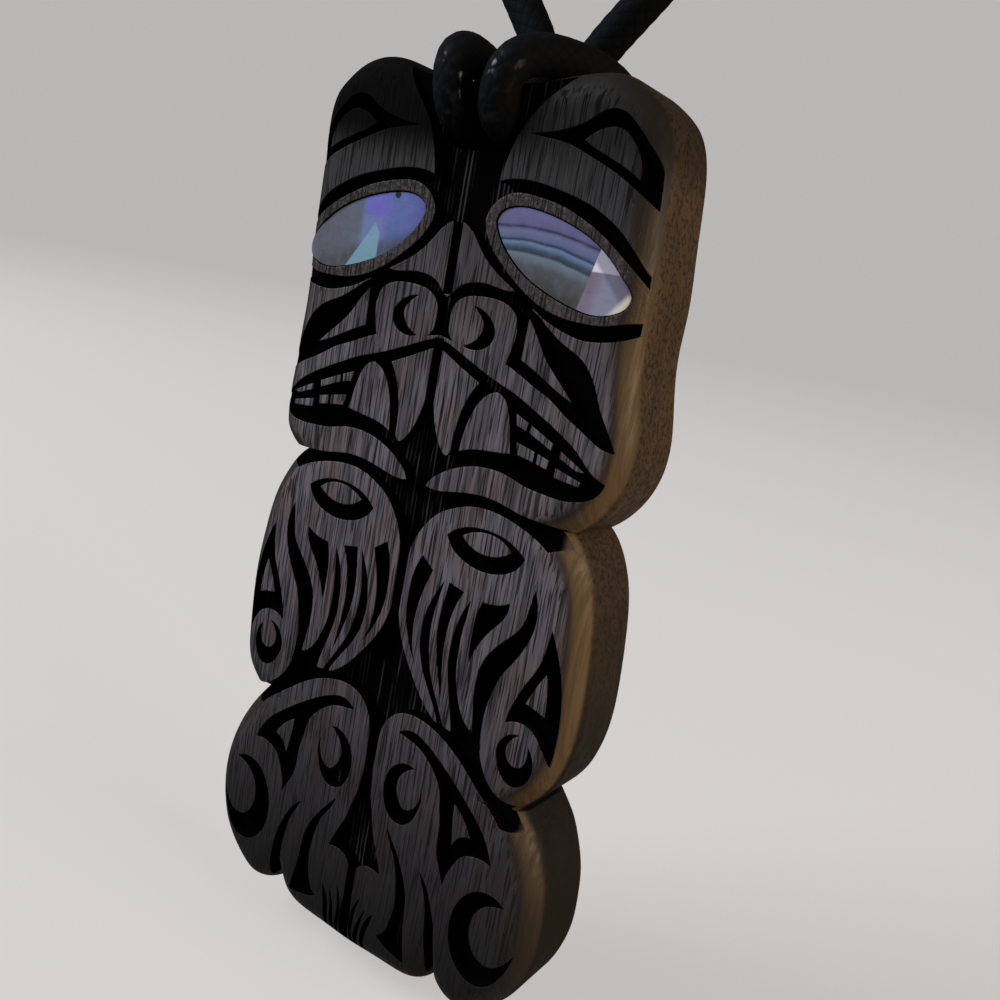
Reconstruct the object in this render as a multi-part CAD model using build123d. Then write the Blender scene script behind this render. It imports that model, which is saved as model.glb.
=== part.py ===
"""Carved wooden bear pendant with shell eyes, tied by a hitch to a round neck cord.

The pendant is drawn flat, face up, and then stood up to hang with its face towards -Y. The frame's
origin is the nape of the neck, where the closing knot rests, with +X across and +Z up.
"""
from build123d import *
import os
from math import pi, radians, tan

# Pendant sizes in millimetres
LENGTH = 49.4
HALF_WIDTH = 11.8
THICKNESS = 5.5
SHOULDER_RADIUS = 1.7
BACK_EDGE_RADIUS = 0.8
CARVING_DEPTH = 0.8

# Shell eyes and their sockets
SOCKET_DEPTH = 1.7
INLAY_SIDE_GAP = 0.06
INLAY_FLOOR_GAP = 0.05
INLAY_RECESS = 0.08
RIM_STEPS = 40

# Cord, closing knot and the slot that both strands of the hitch pass through
CORD_DIAMETER = 2.0
STRAND_GAP = 0.4
HOLE_SIDE_CLEARANCE = 0.15
HOLE_CLEARANCE = 0.3
KNOT_LENGTH = 7.0
KNOT_DIAMETER = 4.4
KNOT_EDGE_RADIUS = 1.1

# Where the pendant's neck line hangs, forward of the nape and below it
PENDANT_FORWARD = 134.0
PENDANT_DROP = 186.0

# The pendant's drawing is charted in squares: 118 across its half width and 494 up its length.
# Up is counted from the neck line between head and arms, across from the centre line.
SQUARE_ACROSS = HALF_WIDTH / 118
SQUARE_UP = LENGTH / 494
HOLE_UP = 193

# The right half of the cord's route in millimetres, from the closing knot to the back of the hitch.
# The hitch: down the back, through the hole, up the face, over the head and across behind itself.
CORD_ROUTE = [
    (3.55, 2.2, 0.0), (11.0, 2.2, 0.0), (24.0, -4.0, -2.0), (45.0, -21.0, -8.5), (58.5, -46.0, -20.0),
    (63.0, -73.0, -37.5), (59.0, -96.0, -61.0), (48.5, -112.0, -89.0), (33.5, -121.5, -116.5),
    (19.0, -125.6, -139.0), (10.3, -126.6, -151.2), (4.9, -127.0, -158.1), (1.5, -127.2, -162.2),
    (1.2, -127.2, -166.7), (1.2, -134.4, -166.7), (1.75, -134.4, -163.3), (3.6, -128.7, -162.9),
    (3.85, -125.0, -164.5),
]
# Each corner's arc takes this share of its shorter run, and the sharp turns of the hitch a set radius
TANGENT_SHARE = 0.45
SHARP_TURN = 60
HITCH_BEND_RADIUS = 1.6

# Outlines of the rounded lobes that make up the plaque. Columns: right half width, left half width, up.
# Two lobes meet at a seam, and the hidden stretch of each beyond its seam mirrors the other's edge.
# The head's top edge stands higher on the left, so its two halves are lists of (across, up).
NECK_SEAM = 9
HIP_SEAM = -140
FOOT_SEAM = 60
HEAD_TOP_RIGHT = [
    (0, 214), (16, 214.5), (34, 217), (56, 220.5), (72, 220), (86, 213), (96, 204), (102, 191),
]
HEAD_TOP_LEFT = [
    (0, 214), (16, 214.5), (34, 217), (46, 219.5), (58, 223), (72, 224.5), (84.5, 221), (95.5, 213),
    (102, 205.5), (105, 197),
]
HEAD = [
    (105, 106, 172), (107, 106, 148), (109, 106, 122), (109, 105, 98),
    (112, 106, 76), (115, 107, 56), (114, 108, 41), (110, 108, 29), (103, 106, 18), (93, 98, 8.5),
    (79, 83, 1), (58, 60, -5.5), (30, 30, -10), (0, 0, -11),
]
ARMS = [
    (0, 0, 31), (40, 40, 29), (64, 64, 22), (81, 79, 15), (94, 92, 7), (103, 101, -5),
    (109, 108, -20), (113, 113, -43), (115, 116, -68), (115, 116, -92), (112, 115, -109),
    (107, 113.5, -122), (100, 109.5, -132), (92, 102, -140.5), (82, 90, -149.5), (64, 68, -158),
    (30, 30, -165), (0, 0, -167),
]
LEG = [
    (57, 57, -115), (74, 74, -120), (87, 84, -130), (96, 92.5, -140), (105, 101, -151),
    (111, 108.5, -163), (116, 115, -178), (118, 119, -195), (118, 119.5, -211), (115, 117, -226),
    (110, 112, -239), (102, 103, -251), (92, 92, -260), (81, 81, -265), (71, 71, -264),
    (62, 62, -258), (53, 53, -244), (42, 42, -224), (31, 31, -196), (25, 25, -165), (28, 28, -138),
    (40, 40, -121),
]
FEET = [
    (0, 0, -106), (36, 36, -110), (66, 66, -125), (82, 82, -155), (85, 85, -195), (76, 76, -224),
    (66, 65, -243), (61, 59, -254), (56, 53, -261.5), (49.5, 45, -266), (41, 34, -268), (28, 22, -268.5),
    (14, 11, -269), (0, 0, -269.5),
]

# Sunk shapes of the right half, each a closed list of runs of (across, up). A run is a smooth curve
# through its points, a run of two points is straight, and the shape has corners where runs meet.
FOREHEAD = [
    [(-4, 232), (56, 232)],
    [(56, 232), (52, 220), (43, 209), (33, 198), (26, 187), (22, 175), (19, 162)],
    [(19, 162), (16, 155), (16, 147)],
    [(16, 147), (9, 141)],
    [(9, 141), (5, 144), (-4, 145)],
    [(-4, 145), (-4, 232)],
]
CENTRE_SLIT = [
    [(-3, 146), (1.5, 146)],
    [(1.5, 146), (1.2, 128), (2, 109)],
    [(2, 109), (-3, 109)],
    [(-3, 109), (-3, 146)],
]
EAR = [
    [(33, 189), (45, 190.5), (55, 193), (63, 196.5), (71, 201.5), (79, 202), (87, 197),
     (95, 188.5), (101, 180), (103, 170), (104, 161)],
    [(104, 161), (96, 167), (88, 172), (78, 177), (68, 181), (56, 185.5), (45, 187.5), (33, 189)],
]
EAR_TRIANGLE = [
    [(63, 188), (73, 194), (80, 194.5), (88, 189), (93, 181), (94, 173)],
    [(94, 173), (82, 179.5), (72, 183.5), (63, 188)],
]
EYE_SURROUND = [
    [(7, 144), (12, 138), (20, 129), (30, 122), (40, 116.5), (50, 111), (60, 105.5), (70, 102),
     (80, 100), (90, 100.5), (100, 103), (108, 108)],
    [(108, 108), (113, 130)],
    [(113, 130), (106, 133), (101, 139), (96, 145), (90, 150.5), (83, 155), (75, 159), (65, 162.5),
     (55, 165), (45, 167), (34, 168), (26, 167.5), (18, 165)],
    [(18, 165), (12, 155), (7, 144)],
]
EYE_RIM = [
    [(16, 148), (21, 157), (30, 161.5), (40, 161.5), (50, 160), (60, 157.5), (70, 153.5),
     (80, 148.5), (90, 142), (100, 134), (109, 124)],
    [(109, 124), (109, 113)],
    [(109, 113), (98, 110), (90, 108), (80, 107.5), (70, 108), (60, 110), (50, 114), (40, 120),
     (30, 127.5), (23, 134), (17.5, 142), (16, 148)],
]
SHELL = [
    [(22, 147), (25, 153), (31, 155.5), (40, 156), (50, 154.5), (60, 152), (70, 148.5), (80, 143.5),
     (90, 136), (97, 129), (101, 123), (100, 118), (94, 113.5), (85, 111.5), (75, 112.5),
     (65, 115), (55, 118.5), (45, 123), (35, 130), (27, 138), (22, 147)],
]
NOSE_ARCH = [
    [(-3, 107), (2, 109), (7, 114), (15, 117), (23, 117.5), (34, 116), (42, 117)],
    [(42, 117), (52, 110)],
    [(52, 110), (47, 98)],
    [(47, 98), (45, 99), (44, 103), (40, 108), (30, 111), (20, 111), (10, 108.5), (5, 103),
     (4.4, 97), (5, 91), (9, 86.5)],
    [(9, 86.5), (-3, 89)],
    [(-3, 89), (-3, 107)],
]
NOSTRIL_CRESCENT = [
    [(17.5, 106), (26, 103.5), (31.5, 98.5), (33, 94.5), (31, 89), (24, 85), (15, 85.7)],
    [(15, 85.7), (20, 88), (24, 92), (25.5, 97), (23, 101.5), (17.5, 106)],
]
CHEEK = [
    [(44, 113), (56, 107)],
    [(56, 107), (65, 100.5), (73, 96), (82, 92), (89, 86), (93, 80), (98, 70), (103, 62),
     (108, 52)],
    [(108, 52), (100, 54), (90, 59), (80, 64), (70, 70), (60, 74), (50, 78.5), (42, 81.5)],
    [(42, 81.5), (44, 89), (45.2, 97), (44, 104)],
    [(44, 104), (44, 113)],
]
CHEEK_SLIVER = [
    [(51, 105), (58, 96), (63, 89), (70, 82), (82, 71)],
    [(82, 71), (70, 76), (60, 81), (50.5, 85)],
    [(50.5, 85), (51, 105)],
]
MOUTH = [
    [(-3, 87), (5, 85.5), (15, 81.5), (25, 77.5), (35, 73.5), (52, 68), (60, 64.5), (70, 60),
     (80, 55), (90, 49), (97, 43), (106, 37)],
    [(106, 37), (104, 32), (100, 28), (93, 25.5), (85, 24.5), (75, 25), (65, 26), (55, 28.5),
     (44, 29.4), (33, 28), (22, 24), (15, 20), (9, 15), (6.5, 10.5)],
    [(6.5, 10.5), (-3, 9)],
    [(-3, 9), (-3, 87)],
]
FRONT_TOOTH = [
    [(1.5, 82), (15, 75.5), (28.8, 69.5)],
    [(28.8, 69.5), (24, 62), (21, 54), (19, 44), (18.5, 33)],
    [(18.5, 33), (16, 29.5), (10, 35), (6, 43), (3.5, 52), (2, 60), (1.5, 70), (1.5, 82)],
]
CANINE = [
    [(40, 67.2), (33, 63), (28, 55), (25, 45), (23.5, 33.5)],
    [(23.5, 33.5), (32, 36.5), (43, 38), (53.7, 39.5)],
    [(53.7, 39.5), (52, 48), (49.5, 57), (46, 64), (40, 67.2)],
]
MOLARS = [
    [[(53.5, 59.5), (61, 56.5)], [(61, 56.5), (60.5, 52.5)], [(60.5, 52.5), (55, 53.8)],
     [(55, 53.8), (53.5, 59.5)]],
    [[(63, 55.8), (76.5, 50)], [(76.5, 50), (76, 46.5)], [(76, 46.5), (62.5, 52)],
     [(62.5, 52), (63, 55.8)]],
    [[(56.5, 46), (67.5, 43.6)], [(67.5, 43.6), (67.3, 38.6)], [(67.3, 38.6), (58, 40)],
     [(58, 40), (56.5, 46)]],
    [[(69.5, 43.2), (76, 41.5)], [(76, 41.5), (75.5, 37)], [(75.5, 37), (69.5, 38.2)],
     [(69.5, 38.2), (69.5, 43.2)]],
    [[(81.5, 47.5), (96, 40.5)], [(96, 40.5), (92, 40)], [(92, 40), (81.5, 44)],
     [(81.5, 44), (81.5, 47.5)]],
    [[(80.5, 39), (95, 35.5)], [(95, 35.5), (94, 33)], [(94, 33), (80.5, 34.3)],
     [(80.5, 34.3), (80.5, 39)]],
]
TRUNK = [
    [(-3, 11), (6.5, 11)],
    [(6.5, 11), (15, 10.5), (23, 12), (33, 14), (45, 15), (55, 14), (65, 12), (75, 11), (88, 10),
     (100, 10)],
    [(100, 10), (100, 0)],
    [(100, 0), (90, 0), (85, -2)],
    [(85, -2), (80, 1), (73, 4), (65, 6.5), (55, 8.5), (45, 9), (35, 7.5), (25, 3.5), (19, 0),
     (12, -7), (7, -15), (3.5, -25), (1.7, -37), (1.5, -50), (3, -60), (6, -70), (11, -80),
     (18, -90), (26, -100), (37.5, -109.5)],
    [(37.5, -109.5), (48, -111)],
    [(48, -111), (61, -105)],
    [(61, -105), (67.5, -110)],
    [(67.5, -110), (70, -118), (74, -125), (80, -131), (86, -135), (96, -138), (106, -139)],
    [(106, -139), (106, -144)],
    [(106, -144), (95, -149), (88, -149)],
    [(88, -149), (82, -143), (73, -136), (63, -128), (53, -121), (43, -116), (33, -113),
     (24.4, -112.2), (17, -113.5), (11, -117), (7, -122), (4, -130), (3.5, -140), (3, -150),
     (3.7, -160), (5, -170), (8, -180), (10, -188), (13, -195), (17, -204), (19.6, -211)],
    [(19.6, -211), (14, -210), (9, -210.5), (4, -214), (1.5, -220), (2, -228)],
    [(2, -228), (-3, -230)],
    [(-3, -230), (-3, 11)],
]
SHOULDER_OVOID = [
    [(25.4, -10), (35, -3.5), (50, -1), (63, -3), (73.6, -9)],
    [(73.6, -9), (68, -17), (60, -21), (50, -22.5), (40, -21), (30, -16), (25.4, -10)],
]
SHOULDER_PUPIL = [
    [(34.7, -7.7), (42, -4), (50, -2.6), (59, -4), (65.3, -8.2)],
    [(65.3, -8.2), (59, -12), (50, -13.8), (40, -11.5), (34.7, -7.7)],
]
FEATHER_RECESSES = [
    [[(12.5, -25), (8.5, -35), (7.2, -47), (8, -60), (11, -70), (16, -80), (19.5, -85)],
     [(19.5, -85), (17, -80), (14.5, -70), (14, -60), (15, -50), (17.5, -40), (20.5, -31)],
     [(20.5, -31), (12.5, -25)]],
    [[(29, -34), (23, -46), (20, -57), (19.5, -67), (21.5, -78), (26, -88), (32, -97), (40, -111)],
     [(40, -111), (44, -111)],
     [(44, -111), (35, -95), (30, -85), (27, -75), (25.5, -65), (25.5, -55), (27, -45), (29, -34)]],
    [[(32, -34), (30.5, -45), (29.5, -55), (30, -65), (32, -75), (35, -85), (39, -97)],
     [(39, -97), (37.5, -85), (36, -75), (35.5, -65), (36, -56), (38, -46), (42, -36)],
     [(42, -36), (32, -34)]],
    [[(47, -39), (42, -50), (40, -60), (39.5, -70), (40.5, -80), (43, -90), (46, -100),
      (49.5, -114)],
     [(49.5, -114), (63, -107)],
     [(63, -107), (54, -100), (49, -90), (46, -80), (45, -70), (45, -60), (46, -50), (47, -39)]],
    [[(54, -37.5), (62, -36.5), (70, -33)],
     [(70, -33), (68, -42), (62, -50), (57, -58), (54, -65), (52.5, -71.5)],
     [(52.5, -71.5), (51.5, -66), (51, -57), (51.5, -47), (54, -37.5)]],
    [[(82.8, -22), (81, -34), (79, -42), (73, -50), (66, -58), (61.5, -65), (59, -73), (58.5, -83),
      (60, -95), (62, -108)],
     [(62, -108), (69, -114)],
     [(69, -114), (67, -100), (67.5, -90), (69.5, -80), (73, -70), (79, -60), (83, -52),
      (86, -43), (86.5, -34), (82.8, -22)]],
]
ELBOW = [
    [(96, -38), (94.5, -50), (92, -60), (87, -70), (83, -80), (80.5, -88), (80, -93)],
    [(80, -93), (85, -90.5), (91, -90), (98, -93), (102, -98), (107, -108)],
    [(107, -108), (108.5, -90), (107, -70), (102.5, -52), (96, -38)],
]
ELBOW_TRIANGLE = [
    [(97.8, -60.5), (93, -70), (89.5, -79)],
    [(89.5, -79), (95, -80), (101, -82)],
    [(101, -82), (100, -70), (97.8, -60.5)],
]
PAW_RING = [
    [(90, -96.5), (82, -99.5), (78, -107), (80.5, -117), (86, -123), (92, -124), (97.5, -119),
     (99.5, -108), (95.5, -100)],
    [(95.5, -100), (95.8, -106), (94, -111.5), (90, -113.5), (85.5, -111.5), (83.5, -106), (85, -101),
     (90, -96.5)],
]
THIGH_BAND = [
    [(16.5, -125), (21, -122), (27, -121), (34, -123), (42, -127), (50, -132), (60, -139),
     (70, -147), (78, -154), (84, -162), (88, -171)],
    [(88, -171), (83, -170), (76, -171), (70, -174), (66, -180), (63, -187), (61, -196)],
    [(61, -196), (57, -187), (54, -180), (53, -172), (52.5, -163), (50.5, -154), (49, -146),
     (45, -139), (39, -133), (32, -128.5), (25, -126.5), (16.5, -125)],
]
THIGH_TRIANGLE = [
    [(59.5, -148), (66, -153), (72.5, -162)],
    [(72.5, -162), (66, -165), (62.5, -171)],
    [(62.5, -171), (61, -162), (59.5, -148)],
]
KNEE_RING = [
    [(31, -141), (24, -140.5), (16, -146), (12.3, -156), (14, -167), (19, -174), (26, -176),
     (33, -172), (37, -164), (38.5, -155), (37, -150)],
    [(37, -150), (37, -157), (33, -164), (28, -166), (23.5, -162), (21, -153), (24, -146),
     (31, -141)],
]
SHIN_GROOVES = [
    [[(19.5, -181), (22, -188), (27, -196), (30, -204), (32, -213), (33, -223), (32, -232),
      (30, -240), (24, -247)],
     [(24, -247), (30, -250), (38, -252), (45, -253)],
     [(45, -253), (43.5, -245), (41.5, -235), (40.5, -225), (39.5, -215), (36, -205), (31, -196),
      (25, -188), (19.5, -181)]],
    [[(45, -195), (48, -201), (52, -210), (54, -220), (55.5, -230), (57, -243), (57, -258)],
     [(57, -258), (65, -258)],
     [(65, -258), (64, -243), (62, -230), (60, -220), (56, -210), (51, -201), (45, -195)]],
]
HEEL_RING = [
    [(101, -189.5), (90, -186), (81, -189), (74, -197), (70.5, -206), (69.8, -214), (71, -223),
     (75, -231), (81, -237), (88, -239.5), (96, -238), (103, -231), (108, -220), (110, -212)],
    [(110, -212), (104, -221), (97, -225), (90, -224), (84, -217), (82.5, -207), (86, -197),
     (93, -191.5), (101, -189.5)],
]
CLAW_SLITS = [
    [[(2, -228), (3.5, -240), (3, -262)], [(3, -262), (-3, -262)], [(-3, -262), (-3, -228)],
     [(-3, -228), (2, -228)]],
    [[(9.5, -231), (5, -240), (4, -253), (5, -265)], [(5, -265), (7.5, -265)],
     [(7.5, -265), (6.5, -252), (7, -241), (9.5, -231)]],
    [[(14, -236), (10, -245), (8.5, -265)], [(8.5, -265), (11, -265)],
     [(11, -265), (12, -246), (14, -236)]],
    [[(20, -236), (15, -243), (13, -251), (13, -264)], [(13, -264), (16, -264)],
     [(16, -264), (16.5, -251), (18, -244), (20, -236)]],
]

SUNK_SHAPES = [FOREHEAD, CENTRE_SLIT, EAR, EYE_SURROUND, NOSE_ARCH, NOSTRIL_CRESCENT, CHEEK, MOUTH, TRUNK,
               SHOULDER_OVOID, *FEATHER_RECESSES, ELBOW, PAW_RING, THIGH_BAND, KNEE_RING, *SHIN_GROOVES,
               HEEL_RING, *CLAW_SLITS]
RAISED_SHAPES = [EAR_TRIANGLE, EYE_RIM, CHEEK_SLIVER, FRONT_TOOTH, CANINE, *MOLARS, SHOULDER_PUPIL,
                 ELBOW_TRIANGLE, THIGH_TRIANGLE]


def drawn_run(points):
    """One run of a drawing: straight for two points, smooth for more."""
    placed = [(across * SQUARE_ACROSS, up * SQUARE_UP) for across, up in points]
    if len(placed) == 2:
        return Line(*placed)
    return Spline(*placed)


def drawn_face(runs):
    """The flat face inside a closed list of runs."""
    return make_face([drawn_run(points) for points in runs])


def column(table, side):
    """A lobe's points down one side: 1 for the right half, -1 for the left half."""
    return [(right if side > 0 else -left, up) for right, left, up in table]


def lobe(points, zone):
    """A slab inside a closed smooth outline, with a rounded front shoulder and an eased back edge.

    The zone is the part of the chart that the lobe fills: least across, most across, least up, most up.
    """
    outline = Spline(*[(across * SQUARE_ACROSS, up * SQUARE_UP) for across, up in points], periodic=True)
    slab = extrude(make_face(outline), amount=-THICKNESS)
    front = slab.faces().sort_by(Axis.Z)[-1]
    slab = fillet(front.edges(), SHOULDER_RADIUS)
    back = slab.faces().sort_by(Axis.Z)[0]
    slab = fillet(back.edges(), BACK_EDGE_RADIUS)
    low_across, high_across, low_up, high_up = zone
    block = Box((high_across - low_across) * SQUARE_ACROSS, (high_up - low_up) * SQUARE_UP, 3 * THICKNESS)
    centre = ((low_across + high_across) / 2 * SQUARE_ACROSS, (low_up + high_up) / 2 * SQUARE_UP)
    return slab & Pos(*centre) * block


def carved_areas():
    """Everything that is cut down to the carving's floor, over both halves of the face."""
    sunk = Sketch() + [drawn_face(runs) for runs in SUNK_SHAPES]
    sunk -= [drawn_face(runs) for runs in RAISED_SHAPES]
    return sunk + mirror(sunk, about=Plane.YZ)


def plaque_lobes():
    """The plaque before carving: head, arms, feet and two legs, which meet at their seams."""
    past = 400
    head_left = [(-across, up) for across, up in HEAD_TOP_LEFT] + column(HEAD, -1)
    whole = [(HEAD_TOP_RIGHT + column(HEAD, 1), head_left, (-past, past, NECK_SEAM, past)),
             (column(ARMS, 1), column(ARMS, -1), (-past, past, HIP_SEAM, NECK_SEAM)),
             (column(FEET, 1), column(FEET, -1), (-FOOT_SEAM, FOOT_SEAM, -past, HIP_SEAM))]
    lobes = [lobe(right + left[-2:0:-1], zone) for right, left, zone in whole]
    lobes.append(lobe(column(LEG, 1), (FOOT_SEAM, past, -past, HIP_SEAM)))
    lobes.append(lobe(column(LEG, -1), (-past, -FOOT_SEAM, -past, HIP_SEAM)))
    return lobes


def socket_prism(side_gap, depth):
    """The right eye's leaf shape, drawn in by the gap and sunk to the depth below the face."""
    leaf = drawn_face(SHELL)
    if side_gap:
        rim = offset(leaf, amount=-side_gap).faces()[0].outer_wire()
        leaf = make_face(Spline(*[rim @ (step / RIM_STEPS) for step in range(RIM_STEPS + 1)]))
    return extrude(leaf, amount=depth, dir=(0, 0, -1))


def pendant_body(plaque):
    """The carved plaque with its two eye sockets and the slot for the cord."""
    hole_width = 2 * (CORD_DIAMETER + HOLE_SIDE_CLEARANCE) + STRAND_GAP
    slot = Pos(0, HOLE_UP * SQUARE_UP) * SlotOverall(hole_width, CORD_DIAMETER + 2 * HOLE_CLEARANCE)
    hole = extrude(slot, amount=2 * THICKNESS, both=True)
    socket = socket_prism(0, SOCKET_DEPTH)
    return plaque - [extrude(carved_areas(), amount=-CARVING_DEPTH), hole, socket, mirror(socket, about=Plane.YZ)]


def eye_inlay(head):
    """The right eye's shell, whose top follows the rounded shoulder just below its surface."""
    prism = socket_prism(INLAY_SIDE_GAP, SOCKET_DEPTH - INLAY_FLOOR_GAP)
    return prism & Pos(0, 0, -INLAY_RECESS) * head


def cord_corners():
    """The whole route, its left half mirrored, with the arc radius of each corner."""
    route = [Vector(point) for point in CORD_ROUTE]
    route += [Vector(-point.X, point.Y, point.Z) for point in reversed(route)]
    radii = []
    for before, corner, after in zip(route, route[1:], route[2:]):
        shorter = min((corner - before).length, (after - corner).length)
        turn = (corner - before).get_angle(after - corner)
        radius = TANGENT_SHARE * shorter / tan(radians(turn) / 2)
        radii.append(min(radius, HITCH_BEND_RADIUS) if turn > SHARP_TURN else radius)
    return route, radii


def neck_cord():
    """One round cord from the closing knot through the hitch and back."""
    route, radii = cord_corners()
    path = FilletPolyline(*route, radius=radii)
    section = Plane(origin=path @ 0, z_dir=path % 0) * Circle(CORD_DIAMETER / 2)
    tube = sweep(section, path=path)
    straight = CORD_DIAMETER**2 * pi / 4 * path.length
    print("cord length", round(path.length, 1), "volume over section x length", round(tube.volume / straight, 4))
    print("cord arc radii", [round(radius, 1) for radius in radii[: len(CORD_ROUTE)]])
    return tube


def closing_knot():
    """The plain piece at the nape that closes the loop, its flat ends just clear of the cord's ends."""
    cord_forward, cord_up = CORD_ROUTE[0][1:]
    knot = Rot(0, 90, 0) * Cylinder(KNOT_DIAMETER / 2, KNOT_LENGTH)
    knot = fillet(knot.edges().filter_by(GeomType.CIRCLE), KNOT_EDGE_RADIUS)
    return Pos(0, cord_forward, cord_up) * knot


head, *lower_lobes = plaque_lobes()
inlay = eye_inlay(head)
hang = Pos(0, -PENDANT_FORWARD, -PENDANT_DROP) * Rot(90, 0, 0)
nodes = {
    "pendant_body": hang * pendant_body(head.fuse(*lower_lobes)),
    "eye_inlay_right": hang * inlay,
    "eye_inlay_left": hang * mirror(inlay, about=Plane.YZ),
    "neck_cord": neck_cord(),
    "closing_knot": closing_knot(),
}

os.makedirs("parts", exist_ok=True)
for name, shape in nodes.items():
    export_step(shape, f"parts/{name}.step")
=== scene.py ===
"""Looks of a carved wooden bear pendant on a waxed neck cord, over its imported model."""

import math

import bmesh
import bpy
from bpy.props import FloatProperty, FloatVectorProperty, IntProperty, PointerProperty
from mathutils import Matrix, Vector


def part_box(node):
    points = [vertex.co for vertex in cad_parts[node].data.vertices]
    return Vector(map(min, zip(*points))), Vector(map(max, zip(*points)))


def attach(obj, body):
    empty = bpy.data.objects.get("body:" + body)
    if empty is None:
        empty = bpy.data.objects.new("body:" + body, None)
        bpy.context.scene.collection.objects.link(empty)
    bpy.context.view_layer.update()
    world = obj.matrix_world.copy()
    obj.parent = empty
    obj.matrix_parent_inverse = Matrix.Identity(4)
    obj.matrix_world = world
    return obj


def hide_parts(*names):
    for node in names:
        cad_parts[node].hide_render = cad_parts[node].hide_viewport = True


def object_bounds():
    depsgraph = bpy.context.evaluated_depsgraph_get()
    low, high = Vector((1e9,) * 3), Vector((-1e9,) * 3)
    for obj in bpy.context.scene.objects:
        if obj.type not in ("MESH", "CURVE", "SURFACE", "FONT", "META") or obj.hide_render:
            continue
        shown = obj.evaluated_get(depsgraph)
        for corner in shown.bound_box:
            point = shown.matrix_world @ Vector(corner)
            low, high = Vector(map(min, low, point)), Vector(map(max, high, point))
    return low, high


bl_info = {
    "name": "Bear Pendant Necklace",
    "version": (1, 0, 0),
    "blender": (4, 5, 0),
    "location": "View3D > Sidebar > Necklace",
    "description": "Finishes a carved pendant with shell eyes, its braided cord and the knot at the nape",
    "category": "Object",
}

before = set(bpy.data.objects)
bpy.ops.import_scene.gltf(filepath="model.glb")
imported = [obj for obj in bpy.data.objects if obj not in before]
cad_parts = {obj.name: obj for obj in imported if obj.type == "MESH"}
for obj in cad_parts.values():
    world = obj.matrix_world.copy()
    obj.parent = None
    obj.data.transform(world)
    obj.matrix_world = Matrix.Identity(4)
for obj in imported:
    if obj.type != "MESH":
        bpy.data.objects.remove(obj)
CAD_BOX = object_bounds()
MM = 0.001

# Points of a mesh that are closer than this, in metres, are one
MERGE = 1e-7

# Where the pendant's drawing lies: its face plane, and the neck line that its heights count from
FACE_Y = -0.134
NECK_LINE_Z = -0.186

# The drawing in millimetres: how deep the carving and the shoulder's crest lie below the face, the
# height and reach of the cord's slot, and the rim of the right eye, with its slant
CARVING_DEPTH = 0.8
CREST_DEPTH = 1.2
SLOT_UP = 19.3
SLOT_REACH = 3.05
EYE_CENTRE = (6.15, 13.4)
EYE_RIM_HALF = (4.75, 2.55)
EYE_SLANT = math.radians(-18)
# Where the channels run out at the right waists: from and up to which height, and from how far across
WAIST_ENDS = [(-0.8, 1.7, 9.0), (-15.6, -13.1, 9.7)]

# The photograph's viewpoint: the camera's place in metres, its turn in degrees and its lens in millimetres
CAMERA_SPOT = (0.030729, -0.174387, -0.174418)
CAMERA_TURN = (77.9816, -10.2314, 34.347)
CAMERA_LENS = 35.54
# The soft lights: the name, the setting for its power, the place from the drawing's origin, size and colour
LAMPS = [
    ("key light", "key_power", (-0.45, -0.38, 0.42), 0.36, (0.93, 0.96, 1.0)),
    ("warm light", "fill_power", (0.52, -0.02, 0.16), 0.3, (1.0, 0.80, 0.55)),
]

# The cord's route in metres, which repeats the part's: from the knot round the right side of the neck,
# then down behind the pendant, where the left strand lies a little nearer to the middle, and then
# through the slot to the front, over the top of the head and round behind both strands. In the hitch,
# points beside the sharp corners keep the smooth line clear of the slot's edges.
NECK_ROUTE = [
    (0.00355, 0.0022, 0.0), (0.011, 0.0022, 0.0), (0.024, -0.004, -0.002), (0.045, -0.021, -0.0085),
    (0.0585, -0.046, -0.02), (0.063, -0.073, -0.0375), (0.059, -0.096, -0.061), (0.0485, -0.112, -0.089),
    (0.0335, -0.1215, -0.1165), (0.019, -0.1256, -0.139),
]
RIGHT_STRAND = [
    (0.0103, -0.1266, -0.1512), (0.0049, -0.127, -0.1581), (0.0015, -0.1272, -0.1622),
    (0.0013, -0.1272, -0.1639),
]
LEFT_STRAND = [
    (-0.0100, -0.1266, -0.1512), (-0.0042, -0.127, -0.1581), (-0.0010, -0.1272, -0.1622),
    (-0.0011, -0.1272, -0.1639),
]
HITCH_LOOP = [
    (0.0012, -0.1272, -0.1667), (0.0012, -0.1308, -0.1667), (0.0012, -0.1344, -0.1667),
    (0.00175, -0.1344, -0.1633), (0.0036, -0.1287, -0.1629), (0.00385, -0.125, -0.1645),
]


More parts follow.
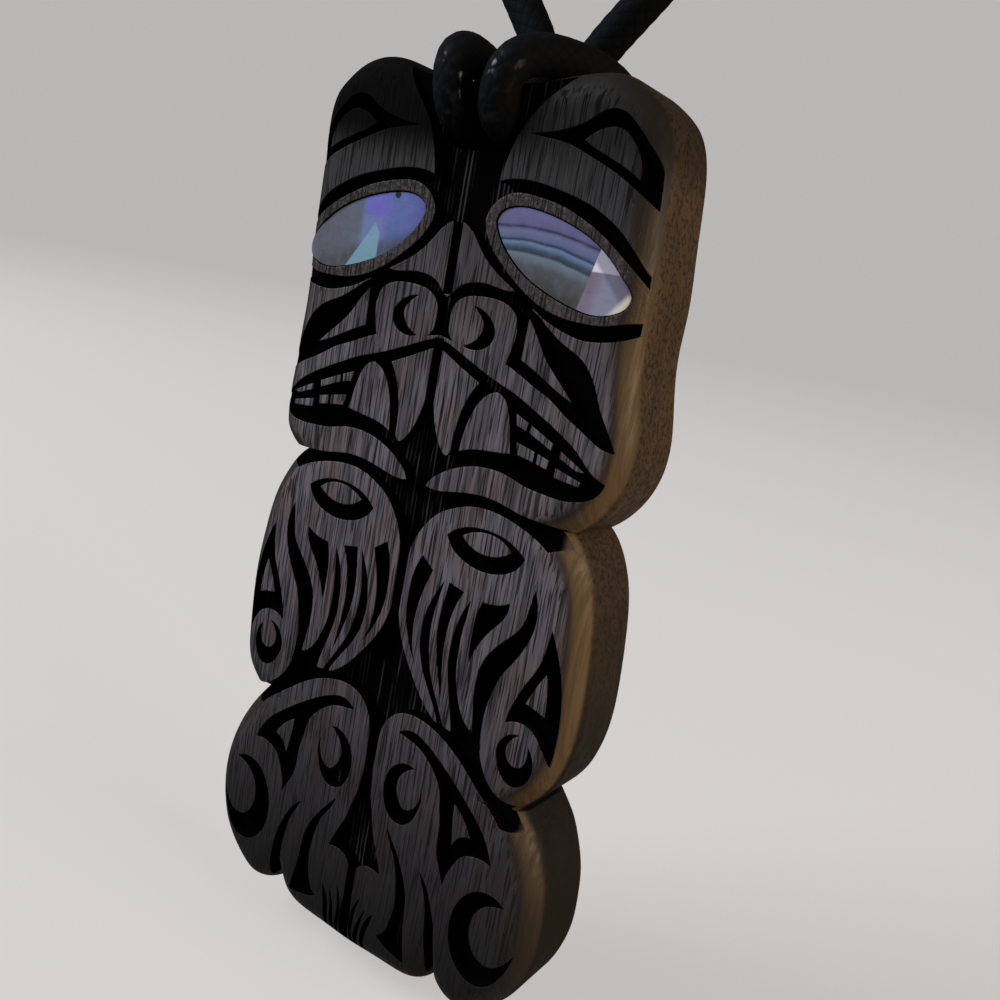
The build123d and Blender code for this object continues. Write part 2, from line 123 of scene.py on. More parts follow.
class Wire:
    """A number or colour that a node gives out; arithmetic on numbers adds Math nodes."""

    def __init__(self, paint, socket):
        self.paint = paint
        self.socket = socket

    def maths(self, operation, *values):
        """The outcome of a Math node on those values."""
        return self.paint.add("Math", dict(enumerate(values)), operation=operation)

    def __add__(self, other):
        return self.maths("ADD", self, other)

    def __radd__(self, other):
        return self.maths("ADD", other, self)

    def __sub__(self, other):
        return self.maths("SUBTRACT", self, other)

    def __rsub__(self, other):
        return self.maths("SUBTRACT", other, self)

    def __mul__(self, other):
        return self.maths("MULTIPLY", self, other)

    def __rmul__(self, other):
        return self.maths("MULTIPLY", other, self)

    def __truediv__(self, other):
        return self.maths("DIVIDE", self, other)

    def __pow__(self, other):
        return self.maths("POWER", self, other)

    def sine(self):
        return self.maths("SINE", self)

    def size(self):
        """The value without its sign."""
        return self.maths("ABSOLUTE", self)

    def most(self, other):
        """The larger of the two values."""
        return self.maths("MAXIMUM", self, other)

    def rise(self, low, high):
        """A smooth step, 0 under low and 1 over high, or the other way round where low is the larger."""
        inputs = {"Value": self, "From Min": low, "From Max": high}
        return self.paint.add("MapRange", inputs, interpolation_type="SMOOTHSTEP")

    def past(self, edge, soft):
        """A soft step at an edge."""
        return self.rise(edge - soft, edge + soft)

    def between(self, low, high, soft):
        """1 between two soft edges and 0 outside them."""
        return self.past(low, soft) * (1 - self.past(high, soft))


class Paint:
    """The nodes of one material, or of the world, with the single method that adds them."""

    def __init__(self, name, kind="materials"):
        self.owner = getattr(bpy.data, kind).new(name)
        self.owner.use_nodes = True
        self.tree = self.owner.node_tree
        self.tree.nodes.clear()

    def add(self, kind, inputs=(), output=0, stops=(), **settings):
        """One output of a new node, which gets its settings, a ramp's stops and its inputs."""
        node = self.tree.nodes.new("ShaderNode" + kind)
        for name, value in settings.items():
            setattr(node, name, value)
        if stops:
            marks = node.color_ramp.elements
            for place, _ in stops[2:]:
                marks.new(place)
            for mark, (place, colour) in zip(marks, stops):
                mark.position = place
                mark.color = (*colour, 1)
        for name, value in dict(inputs).items():
            if isinstance(value, Wire):
                self.tree.links.new(value.socket, node.inputs[name])
            else:
                node.inputs[name].default_value = value
        return None if output is None else Wire(self, node.outputs[output])

    def place(self):
        """Millimetres across, deep below the carved face and up from the neck line."""
        spot = self.add("TexCoord", output="Object")
        across, forward, up = (self.add("SeparateXYZ", {0: spot}, output=axis) for axis in "XYZ")
        return across / MM, (forward - FACE_Y) / MM, (up - NECK_LINE_Z) / MM

    def noise(self, spot, scale, detail=2.0, roughness=0.5):
        """Cloudy noise, from 0 to 1 and mostly near a half, at the spot's three coordinates."""
        spot = self.add("CombineXYZ", dict(zip("XYZ", spot)))
        inputs = {"Vector": spot, "Scale": scale, "Detail": detail, "Roughness": roughness}
        return self.add("TexNoise", inputs)

    def mix(self, share, first, second):
        """One colour laid over another by the share, from 0 to 1."""
        colours = [value if isinstance(value, Wire) else (*value, 1) for value in (first, second)]
        # A Mix node's colours go in at sockets 6 and 7 and come out at 2
        return self.add("Mix", {0: share, 6: colours[0], 7: colours[1]}, output=2, data_type="RGBA")

    def relief(self, height, depth, below=None):
        """The normal of a relief, where a height of 1 stands out by the depth, in metres."""
        inputs = {"Height": height, "Distance": depth, "Strength": 1.0}
        if below:
            inputs["Normal"] = below
        return self.add("Bump", inputs)

    def skin(self, **inputs):
        """A surface, whose sockets are named with underscores for spaces."""
        return self.add("BsdfPrincipled", {name.replace("_", " "): value for name, value in inputs.items()})

    def finish(self, surface, kind="OutputMaterial"):
        """The finished material or world with that surface."""
        self.add(kind, {"Surface": surface}, output=None)
        return self.owner


def new_object(name, data):
    """An object in the scene that shows the data."""
    item = bpy.data.objects.new(name, data)
    bpy.context.scene.collection.objects.link(item)
    return item


def dress(piece, material):
    """Gives a piece one material in place of those it came with."""
    piece.data.materials.clear()
    piece.data.materials.append(material)


def new_piece(name, bm, material, node):
    """A finished mesh that rides on the necklace and stands for a CAD node."""
    mesh = bpy.data.meshes.new(name)
    bmesh.ops.recalc_face_normals(bm, faces=bm.faces)
    bm.to_mesh(mesh)
    bm.free()
    mesh.shade_smooth()
    mesh.materials.append(material)
    piece = new_object(name, mesh)
    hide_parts(node)
    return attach(piece, "root")


def wood_paint(wood):
    """Near-black carved wood: silvery grain and painted sheen on the face, charred carving, a shoulder
    golden with painted warm light, and dark sides.
    """
    paint = Paint("carved dark wood")
    across, deep, up = paint.place()
    facing = paint.add("SeparateXYZ", {0: paint.add("NewGeometry", output="Normal")}, output="Y") * -1

    # Char covers the floors, the walls and the cord's slot; at the waists it ends short of the side
    floor = facing.past(0.95, 0.02) * deep.between(CARVING_DEPTH - 0.3, CARVING_DEPTH + 0.07, 0.03)
    wall = facing.rise(0.4, 0.3) * deep.between(0.02, CARVING_DEPTH + 0.03, 0.02)
    from_slot = (across ** 2 + (up - SLOT_UP) ** 2) ** 0.5
    slot = (1 - from_slot.past(SLOT_REACH, 0.15)) * deep.rise(0.03, 0.06)
    carved = floor.most(wall).most(slot)
    for low, high, edge in WAIST_ENDS:
        carved = carved * (1 - up.between(low, high, 0.2) * across.past(edge, 0.3))

    # Grain runs up the pendant: broad bands, fine streaks and long thin cracks; its ends show as specks
    drift = paint.noise((across * 0.4, deep * 0.4, up * 0.06), 1.0)
    wander = drift * 2.2 + paint.noise((across * 0.5, deep, up * 0.3), 1.0, 1.0) * 0.9
    streaks = paint.noise((across * 4.6 + wander, deep * 1.3, up * 0.2), wood.grain, 3.0, 0.62)
    bands = paint.noise((across * 1.5 + wander, deep * 1.5, up * 0.09), wood.grain)
    cracks = paint.noise((across * 8.0 + wander, deep * 8.0, up * 0.32), wood.grain, 1.0)
    specks = paint.noise((across * 4.6, deep * 4.6, up * 3.8), wood.grain, 3.0, 0.6)
    fine = streaks.rise(0.37, 0.57) * (bands.rise(0.36, 0.54) * 0.6 + 0.4)
    crack = cracks.rise(0.55, 0.61) * deep.rise(0.3, 0.05)

    # Painted sheen keeps the face palest round the mouth and arms and dark at brow and feet; it has patches
    # of tint
    painted_sheen = up.rise(21.0, 4.0) * up.rise(-28.0, 0.0)
    tint = paint.noise((across * 0.42, deep, up * 0.24), 1.0)
    pale = paint.mix(tint.rise(0.5, 0.6) * 0.6, wood.face_colour, wood.warm_colour)
    calm = up.rise(-9.0, -20.0) * 0.4
    silver = paint.mix((fine * (0.72 - calm) + 0.28 + calm * 0.3) * painted_sheen, wood.streak_colour, pale)

    # Round the eyes the rims are rough and darker, with pale specks
    beside, above = across.size() - EYE_CENTRE[0], up - EYE_CENTRE[1]
    length_way = (beside * math.cos(EYE_SLANT) + above * math.sin(EYE_SLANT)) / EYE_RIM_HALF[0]
    height_way = (above * math.cos(EYE_SLANT) - beside * math.sin(EYE_SLANT)) / EYE_RIM_HALF[1]
    rim = 1 - (length_way ** 2 + height_way ** 2).past(1.05, 0.07)
    silver = paint.mix(rim * 0.45, silver, wood.streak_colour)
    silver = paint.mix(rim * specks.rise(0.5, 0.6) * 0.5, silver, wood.rim_colour)

    # The shoulder starts dark; on the right a painted warm highlight turns it golden, less so towards the
    # feet, down to its crest
    painted_warm_light = across.rise(-3.0, 5.0) * up.rise(18.0, 8.0) * up.rise(-26.0, -10.0)
    painted_gold = paint.mix(up.rise(-9.0, -18.0) * 0.9, wood.crest_highlight_colour, wood.side_colour)
    shoulder = paint.mix(painted_warm_light * deep.rise(0.12, 0.45), wood.shoulder_colour, painted_gold)

    # Past the crest the side is speckled, and painted shade darkens it towards the feet
    side = paint.mix(specks.rise(0.48, 0.6) * 0.7, wood.side_colour, wood.side_grain_and_shade_colour)
    side = paint.mix(up.rise(8.0, -14.0), side, wood.side_grain_and_shade_colour)
    rounded = paint.mix(deep.rise(CREST_DEPTH - 0.2, CREST_DEPTH + 0.15), shoulder, side)
    rounded = paint.mix((1 - streaks.rise(0.38, 0.6)) * 0.3, rounded, wood.side_grain_and_shade_colour)

    # The top of the head is made darker and duller, most of all on the left
    crown_darkening = up.rise(16.5, 19.0) * (across.rise(6.0, -2.0) * 0.5 + 0.48)
    colour = paint.mix(deep.rise(0.02, 0.25), silver, rounded)
    colour = paint.mix(crack * 0.85, colour, wood.pore_colour)
    colour = paint.mix(crown_darkening, colour, wood.floor_colour)
    rough = 0.62 - fine * (1 - crown_darkening) * 0.2 + crack * 0.35 + crown_darkening * 0.3
    height = streaks * (1 - crown_darkening) * 0.6 - crack * 0.6 + specks * rim * 0.8
    soft_edges = paint.add("Bevel", {"Radius": wood.edge_softness}, samples=6)
    normal = paint.relief(height, wood.grain_depth, soft_edges)
    bare = paint.skin(Base_Color=colour, Roughness=rough, Normal=normal, Specular_IOR_Level=0.18)

    # The cutter's comb lines show faintly here and there in the charred floors near the middle
    comb = (across * (math.tau / wood.comb_pitch) + drift * 9).sine() * 0.5 + 0.5
    comb = comb * floor * bands.rise(0.42, 0.56) * across.size().rise(5.5, 3.0)
    char = paint.mix(comb ** 3 * streaks.rise(0.4, 0.56), wood.floor_colour, wood.comb_colour)
    normal = paint.relief(comb * 0.5 + streaks * floor, wood.comb_depth)
    burnt = paint.skin(Base_Color=char, Roughness=0.75, Normal=normal, Specular_IOR_Level=0.0)
    return paint.finish(paint.add("MixShader", {0: carved.most(crown_darkening ** 2 * 0.7), 1: bare, 2: burnt}))


def right_shell_paint(shell):
    """Lilac and teal arcs over grey, then a bright flake and a white outer end past a straight edge."""
    paint = Paint("shell of the right eye")
    across, deep, up = paint.place()
    wobble = paint.noise((across, deep, up), 0.55, 3.0) - 0.5

    # The arcs are parts of flat ovals round a middle below the eye, from the grey inside to lilac outside
    reach = (((across - 3.9) * 0.8) ** 2 + (up - 5.4) ** 2) ** 0.5 + wobble * 0.22
    arcs = paint.add("ValToRGB", {0: (reach - 6.6) / 3.4}, stops=[
        (0.0, (0.055, 0.055, 0.055)), (0.28, (0.085, 0.09, 0.105)), (0.42, (0.15, 0.20, 0.26)),
        (0.455, (0.032, 0.042, 0.065)), (0.50, (0.05, 0.075, 0.12)), (0.54, (0.09, 0.17, 0.27)),
        (0.575, (0.14, 0.23, 0.38)), (0.605, (0.028, 0.035, 0.075)), (0.65, (0.11, 0.14, 0.27)),
        (0.735, (0.16, 0.165, 0.31)), (0.765, (0.11, 0.12, 0.24)), (0.79, (0.028, 0.028, 0.08)),
        (0.83, (0.12, 0.12, 0.26)), (1.0, (0.15, 0.145, 0.31)),
    ])

    # The flake goes from mauve to pale blue, with a white wedge at its top, a shade across and a white tip
    flake = paint.mix((across - up * 0.2).rise(5.4, 6.3), (0.20, 0.16, 0.235), (0.25, 0.25, 0.36))
    wedge = up.past(13.14, 0.06) * (across + up * 1.25).rise(26.5, 26.2)
    flake = paint.mix(wedge, flake, (0.85, 0.78, 0.95))
    shade = (across * 0.72 + up * 0.69).rise(15.0, 15.3) * 0.6
    flake = paint.mix(shade, flake, (0.08, 0.08, 0.12))
    tip = (across * 0.78 - up * 0.62).past(0.1, 0.15)
    flake = paint.mix(tip, flake, (0.72, 0.70, 0.64))
    flake_share = (across - up * 0.245 + wobble * 0.1).past(4.68, 0.03)
    return shell_finish(paint, paint.mix(flake_share, arcs, flake), shell, across, deep, up)


def left_shell_paint(shell):
    """Blue-lilac inner end, a violet patch, a pale flake, a dark fleck and a grey outer end."""
    paint = Paint("shell of the left eye")
    across, deep, up = paint.place()
    outwards = across * -1
    wobble = paint.noise((outwards, deep, up), 0.7, 3.0) - 0.5
    colour = paint.add("ValToRGB", {0: (outwards + wobble * 0.7 - 2.2) / 8}, stops=[
        (0.0, (0.11, 0.11, 0.36)), (0.18, (0.12, 0.16, 0.44)), (0.28, (0.11, 0.16, 0.40)),
        (0.36, (0.18, 0.20, 0.46)), (0.50, (0.15, 0.22, 0.42)), (0.54, (0.12, 0.14, 0.19)),
        (0.74, (0.12, 0.125, 0.16)), (1.0, (0.10, 0.10, 0.14)),
    ])
    low = (up + outwards * 0.3).rise(14.9, 14.0)
    colour = paint.mix(low * 0.75, colour, (0.06, 0.062, 0.075))
    patch = outwards.between(4.5, 6.3, 0.12) * up.rise(14.0, 14.3)
    colour = paint.mix(patch * 0.85, colour, (0.16, 0.14, 0.56))
    flake = outwards.between(5.1, 7.4, 0.06) * (up + (outwards - 5.45).size() * 1.4).rise(13.9, 13.75)
    colour = paint.mix(flake * 0.9, colour, (0.20, 0.38, 0.50))
    fleck = ((outwards - 4.2) ** 2 + (up - 15.4) ** 2).rise(0.06, 0.02)
    colour = paint.mix(fleck, colour, (0.02, 0.02, 0.03))
    return shell_finish(paint, colour, shell, outwards, deep, up)


def shell_finish(paint, colour, shell, across, deep, up):
    """Clouds the colour, draws thin dark threads through it and lays a polished coat over it."""
    cloud = paint.noise((across, deep, up), 1.6, 4.0, 0.6)
    colour = paint.mix(cloud.rise(0.4, 0.75) * 0.12, colour, (0.30, 0.33, 0.45))
    threads = paint.noise((across * 0.8, deep, up * 5), 1.2, 3.0, 0.6)
    colour = paint.mix(threads.rise(0.5, 0.75) * 0.18, colour, (0.05, 0.07, 0.12))
    normal = paint.relief(cloud, shell.cloud_depth)
    return paint.finish(paint.skin(Base_Color=colour, Roughness=shell.roughness, Normal=normal,
                                   Coat_Weight=0.25, Coat_Roughness=0.12, Specular_IOR_Level=0.3))


def cord_paint(name, cord, height):
    """Near-black waxed yarn, dull and painted darker as shade between the yarns, smooth with wax where the
    hitch's loops are rubbed.
    """
    paint = Paint(name)
    uv = paint.add("TexCoord", output="UV")
    along, around = (paint.add("SeparateXYZ", {0: uv}, output=axis) for axis in "XY")
    crown = height(along, around)
    across, deep, up = paint.place()
    lint = paint.noise((across, deep, up), 2.6, 3.0, 0.6)
    rubbed = deep.rise(-0.2, -1.0) * across.size().rise(3.0, 1.6) * up.rise(22.8, 21.6)
    wax = paint.noise((across, deep, up), 1.9, 1.0).rise(0.44, 0.72) * rubbed
    fibres = paint.noise((along * 6, around * 60, deep * 3), 1.0)
    # Painted shade: the valleys between the yarns are coloured darker than the crowns, and the lint varies
    # the tone at random
    colour = paint.mix(crown * 0.5 + lint * 0.5, cord.valley_shade_colour, cord.crown_colour)
    normal = paint.relief(crown * (1 - wax * 0.6) + fibres * 0.3, cord.yarn_depth)
    return paint.finish(paint.skin(Base_Color=colour, Roughness=0.75 - wax * 0.2, Normal=normal,
                                   Specular_IOR_Level=0.05, Specular_Tint=(*cord.wax_tint, 1),
                                   Coat_Weight=wax * 0.45, Coat_Roughness=0.18))


def mirrored(route):
    """The same points on the other side of the pendant."""
    return [(-x, y, z) for x, y, z in route]


def spline_line(route):
    """The points of the smooth curve whose control points are the route."""
    curve = bpy.data.curves.new("cord line", "CURVE")
    curve.dimensions = "3D"
    spline = curve.splines.new("NURBS")
    spline.points.add(len(route) - 1)
    for point, corner in zip(spline.points, route):
        point.co = (*corner, 1)
    spline.order_u = 3
    spline.use_endpoint_u = True
    curve.resolution_u = 40
    # A helper object stands in the scene only for as long as Blender works the curve out
    holder = new_object("cord line", curve)
    bpy.context.view_layer.update()
    line = bpy.data.meshes.new_from_object(holder.evaluated_get(bpy.context.evaluated_depsgraph_get()))
    points = [vertex.co.copy() for vertex in line.vertices]
    bpy.data.objects.remove(holder)
    bpy.data.meshes.remove(line)
    return points


def evenly(points, pitch):
    """The same line with its points a steady pitch apart."""
    lengths = [0.0]
    for before, after in zip(points, points[1:]):
        lengths.append(lengths[-1] + (after - before).length)
    count = round(lengths[-1] / pitch)
    spaced, index = [], 0
    for step in range(count + 1):
        reach = lengths[-1] * step / count
        while index < len(points) - 2 and lengths[index + 1] < reach:
            index += 1
        share = (reach - lengths[index]) / max(lengths[index + 1] - lengths[index], MERGE)
        spaced.append(points[index].lerp(points[index + 1], min(max(share, 0), 1)))
    return spaced, lengths[-1]


def braid_crown(along, turn, cord):
    """The height of the braid's surface at a place, from 0 in a valley to 1 on a yarn."""
    right = along / cord.lay_pitch + turn
    left = along / cord.lay_pitch - turn
    crossing = math.floor(right * cord.yarns) + math.floor(left * cord.yarns)
    upper = abs(math.sin(math.pi * right * cord.yarns))
    lower = abs(math.sin(math.pi * left * cord.yarns))
    if crossing % 2:
        upper, lower = lower, upper
    # The upper yarn is round across its width, and along it dips only close to where it goes under
    return upper ** 0.9 * lower ** 0.35


def map_weave(bm, weave_at):
    """Maps the faces by the places of their corners: millimetres along and turns around."""
    layer = bm.loops.layers.uv.new("weave")
    for face in bm.faces:
        for loop in face.loops:
            loop[layer].uv = weave_at(loop.vert.co)


def close_up(bm):
    """Merges the points along the seam and closes the open ends."""
    bmesh.ops.remove_doubles(bm, verts=bm.verts, dist=MERGE)
    bmesh.ops.holes_fill(bm, edges=[edge for edge in bm.edges if edge.is_boundary])


def tube(line, sides, radius_at, length):
    """A strip of weave rolled round a line."""
    bm = bmesh.new()
    steps = len(line) - 1
    bmesh.ops.create_grid(bm, x_segments=steps, y_segments=sides, size=0.5)
    map_weave(bm, lambda spot: ((spot.x + 0.5) * length / MM, spot.y + 0.5))

    # Each ring takes its directions over from the ring before it, so that the tube doesn't twist
    hoops = []
    side = Vector((0, 0, 1))
    for before, after in zip([line[0], *line], [*line[1:], line[-1]]):
        tangent = (after - before).normalized()
        side = (side - tangent * side.dot(tangent)).normalized()
        hoops.append((side, tangent.cross(side)))
    for vert in bm.verts:
        share, turn = vert.co.x + 0.5, vert.co.y + 0.5
        row = round(share * steps)
        start, quarter = hoops[row]
        spoke = start * math.cos(turn * math.tau) + quarter * math.sin(turn * math.tau)
        vert.co = line[row] + spoke * radius_at(share * length / MM, turn)
    close_up(bm)
    return bm


class CarvedWoodSettings(bpy.types.PropertyGroup):
    """Colours, grain and relief of the carved wood."""

    face_colour: FloatVectorProperty(name="Face", description="Raised face between the dark grain lines",
                                     subtype="COLOR", default=(0.134, 0.123, 0.144), min=0, max=1)
    streak_colour: FloatVectorProperty(name="Grain", description="Dark grain lines of the face",
                                       subtype="COLOR", default=(0.005, 0.0045, 0.005), min=0, max=1)
    warm_colour: FloatVectorProperty(name="Warm patches", description="Warmer patches of the face",
                                     subtype="COLOR", default=(0.14, 0.10, 0.098), min=0, max=1)
    floor_colour: FloatVectorProperty(name="Floor", description="Blackened floor of the carving",
                                      subtype="COLOR", default=(0.0014, 0.0013, 0.0013), min=0, max=1)
    comb_colour: FloatVectorProperty(name="Comb lines", description="Crests of the lines in the floor",
                                     subtype="COLOR", default=(0.05, 0.046, 0.05), min=0, max=1)
    shoulder_colour: FloatVectorProperty(name="Shoulder", description="Rounded edge next to the face",
                                         subtype="COLOR", default=(0.016, 0.0135, 0.012), min=0, max=1)
    side_colour: FloatVectorProperty(name="Side", description="Warm wood of the side and back",
                                     subtype="COLOR", default=(0.066, 0.041, 0.022), min=0, max=1)
    # Dark grain and specks of the side, and also its painted shade towards the feet
    side_grain_and_shade_colour: FloatVectorProperty(name="Side grain", description="Dark grain and specks of the side",
                                          subtype="COLOR", default=(0.008, 0.0062, 0.0045),
                                          min=0, max=1)
    # Painted warm highlight on the right shoulder, up to its crest
    crest_highlight_colour: FloatVectorProperty(name="Crest", description="Painted warm highlight on the right shoulder",
                                      subtype="COLOR", default=(0.116, 0.077, 0.041), min=0, max=1)
    rim_colour: FloatVectorProperty(name="Rim specks", description="Pale specks on the rims of the eyes",
                                    subtype="COLOR", default=(0.11, 0.085, 0.065), min=0, max=1)
    pore_colour: FloatVectorProperty(name="Cracks", description="Thin dark lines along the grain",
                                     subtype="COLOR", default=(0.004, 0.0035, 0.0035), min=0, max=1)
    grain: FloatProperty(name="Grain fineness", description="Grain lines in each millimetre",
                         default=1.0, min=0.1, max=5)
    comb_pitch: FloatProperty(name="Comb pitch", description="Distance between comb lines in millimetres",
                              default=0.27, min=0.05, max=2)
    grain_depth: FloatProperty(name="Grain depth", description="Depth of the grain's relief",
                               subtype="DISTANCE", default=0.00006, min=0, max=0.001)
    comb_depth: FloatProperty(name="Comb depth", description="Depth of the comb lines' relief",
                              subtype="DISTANCE", default=0.00005, min=0, max=0.001)
    edge_softness: FloatProperty(name="Edge softness", description="Radius of the carving's edges",
                                 subtype="DISTANCE", default=0.00009, min=0, max=0.001)


class ShellSettings(bpy.types.PropertyGroup):
    """Polish of the shell eyes."""

    roughness: FloatProperty(name="Roughness", description="Roughness of the polished shell",
                             subtype="FACTOR", default=0.24, min=0, max=1)
    cloud_depth: FloatProperty(name="Cloud depth", description="Depth of the shell's faint waves",
                               subtype="DISTANCE", default=0.00002, min=0, max=0.001)


class CordSettings(bpy.types.PropertyGroup):
    """Size, braid and colour of the cord, and the winding of its knot."""

    diameter: FloatProperty(name="Diameter", description="Across the crowns of the braid",
                            subtype="DISTANCE", default=0.002, min=0.0005, max=0.005)
    ring_pitch: FloatProperty(name="Ring pitch", description="Distance between the tube's rings",
                              subtype="DISTANCE", default=0.00024, min=0.00005, max=0.005)
    sides: IntProperty(name="Sides", description="Strips that the tube's wall is made of",
                       default=28, min=8, max=64)
    yarns: IntProperty(name="Yarns", description="Yarns that turn each way", default=8, min=2, max=16)
    lay_pitch: FloatProperty(name="Lay", description="Millimetres in which a yarn goes round once",
                             default=6.4, min=1, max=50)
    knot_turns: IntProperty(name="Knot turns", description="Turns of cord wound round the knot",
                            default=4, min=1, max=12)
    yarn_depth: FloatProperty(name="Yarn depth", description="Depth of the valleys between yarns",
                              subtype="DISTANCE", default=0.000028, min=0, max=0.001)
    crown_colour: FloatVectorProperty(name="Crown", description="Yarn where it stands out",
                                      subtype="COLOR", default=(0.0045, 0.0045, 0.005), min=0, max=1)
    wax_tint: FloatVectorProperty(name="Wax", description="Tint of the wax over the yarn",
                                  subtype="COLOR", default=(0.5, 0.68, 1.0), min=0, max=1)
    # Painted shade in the valleys between the yarns
    valley_shade_colour: FloatVectorProperty(name="Valley", description="Between the yarns",
                                       subtype="COLOR", default=(0.002, 0.002, 0.0022), min=0, max=1)


class StageSettings(bpy.types.PropertyGroup):
    """Plain floor and soft light."""

    floor_colour: FloatVectorProperty(name="Floor", description="Pale floor and surroundings",
                                      subtype="COLOR", default=(0.605, 0.595, 0.588), min=0, max=1)
    floor_reach: FloatProperty(name="Floor reach", description="From the floor's middle to its edge",
                               subtype="DISTANCE", default=6.0, min=0.5, max=20)
    floor_gap: FloatProperty(name="Floor gap", description="How far the floor lies below the pendant",
                             subtype="DISTANCE", default=0.002, min=0, max=0.1)
    floor_share: FloatProperty(name="Floor reflection", description="Share of its tone that it reflects",
                               subtype="FACTOR", default=0.35, min=0, max=1)
    key_power: FloatProperty(name="Key light", description="Power of the cool light from the left",
                             default=6.0, min=0, max=1000)
    fill_power: FloatProperty(name="Warm light", description="Power of the warm light from the right",
                              default=2.6, min=0, max=1000)
    surround: FloatProperty(name="Surround", description="Brightness that the camera sees round the piece",
                            default=0.8, min=0, max=10)
    dimming: FloatProperty(name="Dimming", description="Share of that brightness that lights the piece",
                           subtype="FACTOR", default=0.25, min=0, max=1)


class NECKLACE_OT_stage(bpy.types.Operator):
    """Sets the camera, the pale floor and the soft lights"""

    bl_idname = "necklace.stage"
    bl_label = "Stage"

    def execute(self, context):
        scene = context.scene
        settings = scene.necklace_stage
        camera = new_object("camera", bpy.data.cameras.new("camera"))
        camera.data.sensor_width = 36
        camera.data.lens = CAMERA_LENS
        camera.data.clip_start = 0.002
        camera.location = CAMERA_SPOT
        camera.rotation_euler = [math.radians(angle) for angle in CAMERA_TURN]
        scene.camera = camera

        # The floor lies just below the pendant
        bm = bmesh.new()
        bmesh.ops.create_grid(bm, x_segments=1, y_segments=1, size=settings.floor_reach)
        bmesh.ops.translate(bm, verts=bm.verts, vec=(0, 0, CAD_BOX[0].z - settings.floor_gap))
        mesh = bpy.data.meshes.new("floor")
        bm.to_mesh(mesh)
        bm.free()
        floor = new_object("floor", mesh)

        # The camera sees floor and surroundings at one pale tone, which light the piece only dimly
        tone = Vector(settings.floor_colour)
        share = settings.floor_share
        paint = Paint("pale floor")
        glow = paint.mix(paint.add("LightPath", output="Is Camera Ray"), (0, 0, 0), tone)
        mesh.materials.append(paint.finish(paint.skin(
            Base_Color=(*tone * share, 1), Roughness=1.0, Specular_IOR_Level=0.0, Emission_Color=glow,
            Emission_Strength=settings.surround * (1 - settings.dimming * share * tone.y))))
        paint = Paint("surround", "worlds")
        seen = paint.add("LightPath", output="Is Camera Ray")
        strength = (seen + (1 - seen) * settings.dimming) * settings.surround
        sky = paint.add("Background", {"Color": (*tone, 1), "Strength": strength})
        scene.world = paint.finish(sky, "OutputWorld")

        aim = Vector((0.0, FACE_Y, NECK_LINE_Z))
        for name, power, offset, size, colour in LAMPS:
            lamp = new_object(name, bpy.data.lights.new(name, "AREA"))
            lamp.data.energy = getattr(settings, power)
            lamp.data.size = size
            lamp.data.color = colour
            lamp.location = aim + Vector(offset)
            lamp.rotation_euler = (-Vector(offset)).to_track_quat("-Z", "Y").to_euler()
        scene.view_settings.view_transform = "Standard"
        return {"FINISHED"}


class NECKLACE_OT_cord(bpy.types.Operator):
    """Braids the cord along its route, from the knot through the hitch and back"""

    bl_idname = "necklace.cord"
    bl_label = "Cord"

    def execute(self, context):
        cord = context.scene.necklace_cord
        right_half = NECK_ROUTE + RIGHT_STRAND + HITCH_LOOP
        left_half = mirrored(NECK_ROUTE) + LEFT_STRAND + mirrored(HITCH_LOOP)
        line, length = evenly(spline_line(right_half + left_half[::-1]), cord.ring_pitch)

        def radius_at(reach, turn):
            crown = braid_crown(reach, turn, cord)
            return cord.diameter / 2 - cord.yarn_depth * (1 - crown)

        def crown(along, around):
            right = (along / cord.lay_pitch + around) * cord.yarns
            left = (along / cord.lay_pitch - around) * cord.yarns
            return ((right * math.pi).sine().size() * (left * math.pi).sine().size()) ** 0.5

        bm = tube(line, cord.sides, radius_at, length)
        new_piece("braided_cord", bm, cord_paint("waxed braid", cord, crown), "neck_cord")
        return {"FINISHED"}


class NECKLACE_OT_knot(bpy.types.Operator):
    """Winds the knot that closes the loop at the nape"""

    bl_idname = "necklace.knot"
    bl_label = "Closing knot"

    def execute(self, context):
        cord = context.scene.necklace_cord
        low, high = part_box("closing_knot")
        half, outer = (high.x - low.x) / 2, (high.z - low.z) / 2
        turns = cord.knot_turns
        wave = half / turns

        # Half of the knot's outline: flat ends, and between them a swell for each turn of cord
        inset, end_valley, valley = 1.9 * wave, 1.1 * wave, 0.36 * wave
        steps = turns * 10
        outline = [(-half, outer - inset)]
        for step in range(steps + 1):
            share = step / steps
            swell = abs(math.sin(math.pi * turns * share)) ** 0.6
            depth = end_valley if step in (0, steps) else valley
            outline.append((-half + 2 * half * share, outer - depth * (1 - swell)))
        outline.append((half, outer - inset))

        bm = bmesh.new()
        verts = [bm.verts.new((x, 0, up)) for x, up in outline]
        edges = [bm.edges.new(pair) for pair in zip(verts, verts[1:])]
        bmesh.ops.spin(bm, geom=verts + edges, cent=(0, 0, 0), axis=(1, 0, 0), angle=math.tau, steps=48,
                       use_merge=True)
        close_up(bm)
        map_weave(bm, lambda spot: (spot.x / MM, math.atan2(spot.z, spot.y) / math.tau))
        bmesh.ops.translate(bm, verts=bm.verts, vec=(low + high) / 2)

        # A spin makes the same faces in each run but not in the same order, so they are sorted
        def order(face):
            corners = [vert.index for vert in face.verts]
            return min(corners) * len(bm.verts) + max(corners)

        bm.verts.index_update()
        bm.faces.sort(key=order)

        def crown(along, around):
            return (along * (math.pi * turns / (half * 2 / MM))).sine().size()

        new_piece("wound_knot", bm, cord_paint("waxed winding", cord, crown), "closing_knot")
        return {"FINISHED"}


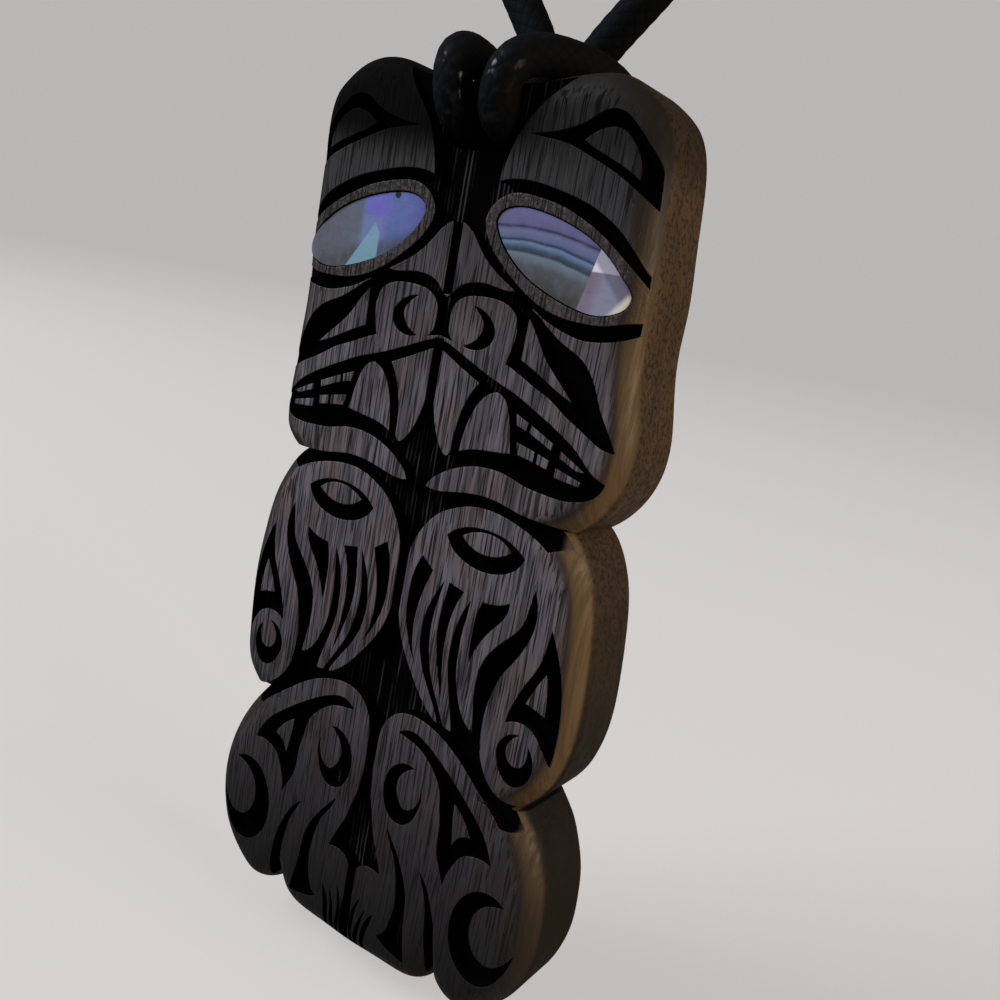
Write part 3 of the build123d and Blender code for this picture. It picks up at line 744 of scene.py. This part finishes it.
class NECKLACE_OT_wood(bpy.types.Operator):
    """Finishes the carved pendant"""

    bl_idname = "necklace.wood"
    bl_label = "Carved wood"

    def execute(self, context):
        dress(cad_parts["pendant_body"], wood_paint(context.scene.necklace_wood))
        return {"FINISHED"}


class NECKLACE_OT_shell(bpy.types.Operator):
    """Finishes the two shell eyes"""

    bl_idname = "necklace.shell"
    bl_label = "Shell eyes"

    def execute(self, context):
        shell = context.scene.necklace_shell
        dress(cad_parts["eye_inlay_right"], right_shell_paint(shell))
        dress(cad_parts["eye_inlay_left"], left_shell_paint(shell))
        return {"FINISHED"}


class NECKLACE_PT_panel(bpy.types.Panel):
    """Lists the necklace's pieces and their settings"""

    bl_idname = "NECKLACE_PT_panel"
    bl_label = "Necklace"
    bl_space_type = "VIEW_3D"
    bl_region_type = "UI"
    bl_category = "Necklace"

    def draw(self, context):
        for group, kind, operators in SECTIONS:
            for operator in operators:
                self.layout.operator(operator.bl_idname)
            for name in kind.__annotations__:
                self.layout.prop(getattr(context.scene, group), name)


# The scene's property with each group of settings, and the operators that work from it
SECTIONS = [
    ("necklace_stage", StageSettings, [NECKLACE_OT_stage]),
    ("necklace_cord", CordSettings, [NECKLACE_OT_cord, NECKLACE_OT_knot]),
    ("necklace_wood", CarvedWoodSettings, [NECKLACE_OT_wood]),
    ("necklace_shell", ShellSettings, [NECKLACE_OT_shell]),
]


def register():
    for group, kind, operators in SECTIONS:
        for entry in (kind, *operators):
            bpy.utils.register_class(entry)
        setattr(bpy.types.Scene, group, PointerProperty(type=kind))
    bpy.utils.register_class(NECKLACE_PT_panel)


def unregister():
    bpy.utils.unregister_class(NECKLACE_PT_panel)
    for group, kind, operators in reversed(SECTIONS):
        delattr(bpy.types.Scene, group)
        for entry in (*operators, kind):
            bpy.utils.unregister_class(entry)


def main():
    """Registers the classes and makes the pieces in order."""
    register()
    bpy.ops.necklace.stage()
    bpy.ops.necklace.cord()
    bpy.ops.necklace.knot()
    bpy.ops.necklace.wood()
    bpy.ops.necklace.shell()


if __name__ == "__main__":
    main()
